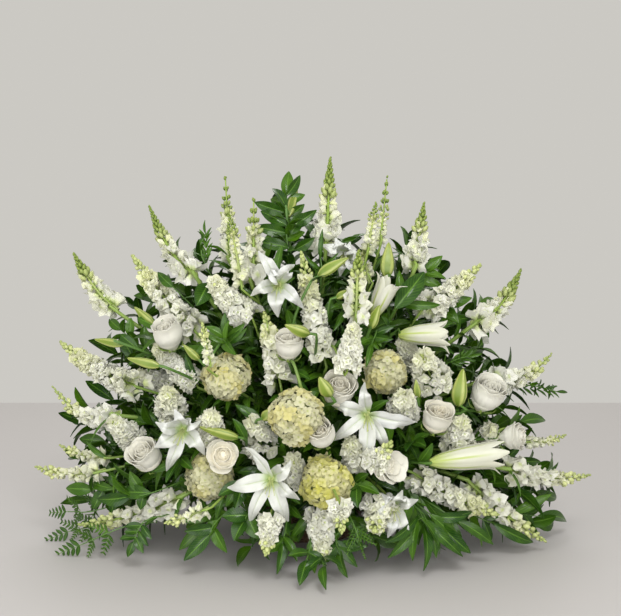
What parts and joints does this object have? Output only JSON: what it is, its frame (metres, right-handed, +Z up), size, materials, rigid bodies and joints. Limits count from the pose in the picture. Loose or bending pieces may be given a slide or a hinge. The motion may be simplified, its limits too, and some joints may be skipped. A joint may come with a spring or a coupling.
{
  "type": "funeral floor basket",
  "caption": "Wide fan-shaped floor arrangement of white and cream flowers with green leaves, in a low woven basket that stands on the floor.",
  "frame": {"origin": "on the floor under the middle of the basket", "axes": "+X to the right of someone facing the arrangement, +Y to its back, +Z up"},
  "size_m": [1.2961, 0.8159, 0.8751],
  "materials": {
    "petal_white": "soft white petals with a cool grey shade",
    "rose_cream": "velvety cream petals with a faint blush",
    "hydrangea_cream": "matt cream-yellow petals",
    "hydrangea_lime": "matt yellow-green petals",
    "leaf_green": "waxy deep green, paler on buds and stems",
    "willow": "dark stained woven willow",
    "liner_plastic": "thin black plastic",
    "floral_foam": "wet green foam"
  },
  "bodies": {
    "root": {"basket": "willow", "foam": "floral_foam", "foliage_back": "leaf_green", "foliage_front_left": "leaf_green", "foliage_front_right": "leaf_green", "foliage_left_high": "leaf_green", "foliage_left_low": "leaf_green", "foliage_right_high": "leaf_green", "foliage_right_low": "leaf_green", "foliage_top": "leaf_green", "hydrangea_centre": "hydrangea_cream", "hydrangea_front": "hydrangea_lime", "hydrangea_low_left": "hydrangea_cream", "hydrangea_upper_left": "hydrangea_cream", "hydrangea_upper_right": "hydrangea_cream", "lily_back": "petal_white", "lily_bud_open_low": "petal_white", "lily_bud_open_right": "petal_white", "lily_centre": "petal_white", "lily_closed_upper": "petal_white", "lily_front": "petal_white", "lily_left": "petal_white", "lily_low_front": "petal_white", "lily_upper": "petal_white", "liner": "liner_plastic", "rose_centre": "rose_cream", "rose_far_right": "rose_cream", "rose_front_left": "rose_cream", "rose_front_right": "rose_cream", "rose_low_far_right": "rose_cream", "rose_low_left": "rose_cream", "rose_lower_centre": "rose_cream", "rose_right": "rose_cream", "rose_upper_centre": "rose_cream", "rose_upper_left": "rose_cream", "snapdragon_centre": "petal_white", "snapdragon_far_left": "petal_white", "snapdragon_far_right": "petal_white", "snapdragon_floor_left": "petal_white", "snapdragon_floor_right": "petal_white", "snapdragon_low_left": "petal_white", "snapdragon_low_right": "petal_white", "snapdragon_mid_left": "petal_white", "snapdragon_mid_right": "petal_white", "snapdragon_top_centre": "petal_white", "snapdragon_top_left": "petal_white", "snapdragon_top_right": "petal_white", "snapdragon_upper_left": "petal_white", "snapdragon_upper_right": "petal_white", "stock_centre": "petal_white", "stock_centre_left": "petal_white", "stock_front": "petal_white", "stock_front_left": "petal_white", "stock_front_right": "petal_white", "stock_left": "petal_white", "stock_low_right": "petal_white", "stock_right": "petal_white", "stock_upper_left": "petal_white", "stock_upper_right": "petal_white"}
  },
  "joints": []
}
